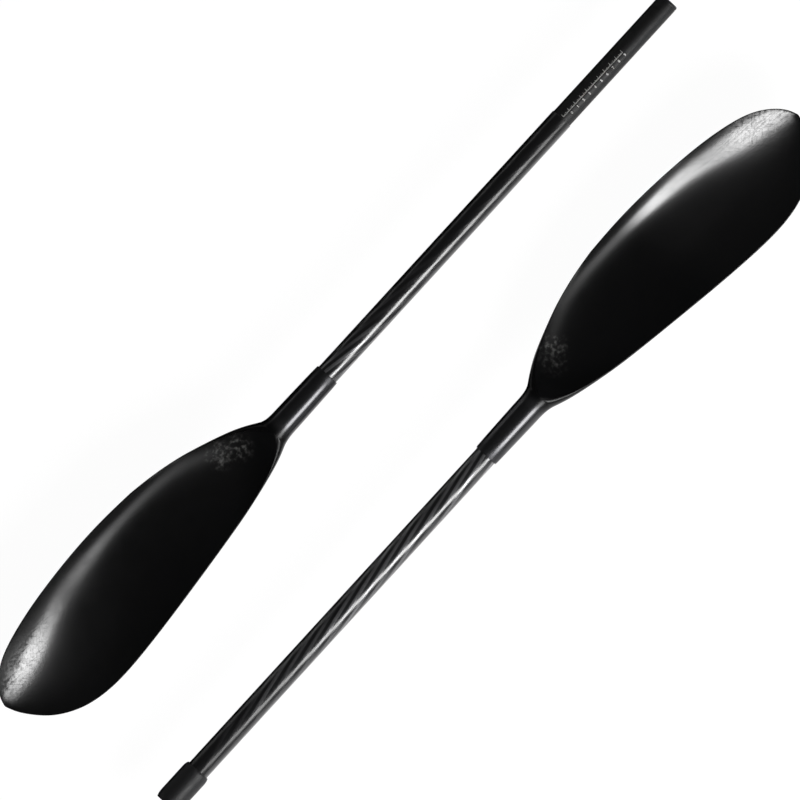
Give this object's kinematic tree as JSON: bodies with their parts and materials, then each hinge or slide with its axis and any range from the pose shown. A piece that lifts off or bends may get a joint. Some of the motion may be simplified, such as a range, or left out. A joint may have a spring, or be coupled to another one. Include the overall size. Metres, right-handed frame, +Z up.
{
  "type": "wing kayak paddle",
  "caption": "Two-piece wing kayak paddle taken apart: mirror-image scooped blades on carbon shafts, a male insert with a length scale, and a twist-lock socket.",
  "frame": {"origin": "centre of the box round both halves, on the floor that they lie on", "axes": "+X along the shafts, from the left half's blade to its insert; +Y to the blades' leading edges; +Z up from the power faces"},
  "size_m": [1.167, 0.3646, 0.0423],
  "materials": {
    "blade_face": "satin black carbon laminate with fine rubbed scratches",
    "blade_back": "satin black carbon laminate, moulded",
    "shaft_carbon": "gloss clear-coated, spiral-wrapped carbon",
    "insert_carbon": "matt ground carbon with a printed white scale",
    "cap_plastic": "black moulded plastic",
    "collar_plastic": "satin black moulded plastic",
    "collet_plastic": "natural white moulded plastic",
    "seal_rubber": "black rubber",
    "foam": "pale closed-cell foam"
  },
  "bodies": {
    "left_half": {"left_back_shell": "blade_back", "left_face_skin": "blade_face", "left_foam_core": "foam", "left_shaft_tube": "shaft_carbon", "left_blade_bung": "foam", "ferrule_insert": "insert_carbon", "insert_end_cap": "cap_plastic", "insert_bung": "foam"},
    "collet": {"split_collet": "collet_plastic"},
    "right_half": {"right_back_shell": "blade_back", "right_face_skin": "blade_face", "right_foam_core": "foam", "right_shaft_tube": "shaft_carbon", "right_blade_bung": "foam", "socket_bung": "foam", "threaded_sleeve": "collar_plastic"},
    "collar": {"lock_collar": "collar_plastic", "collar_seal": "seal_rubber"}
  },
  "joints": [
    {"name": "line_up", "type": "slide", "parent": "left_half", "child": "collet", "axis": [0.9888, 0.1488, -0.0056], "range_m": [0, 1.3842]},
    {"name": "feather", "type": "hinge", "parent": "collet", "child": "right_half", "pos_m": [-0.5224, -0.10578, 0.01735], "axis": [0.9999, 0, 0.0119], "range_deg": [-90, 90]},
    {"name": "lock_turn", "type": "hinge", "parent": "right_half", "child": "collar", "pos_m": [-0.511, -0.10578, 0.01749], "axis": [0.9999, 0, 0.0119], "range_deg": [0, 180]}
  ]
}
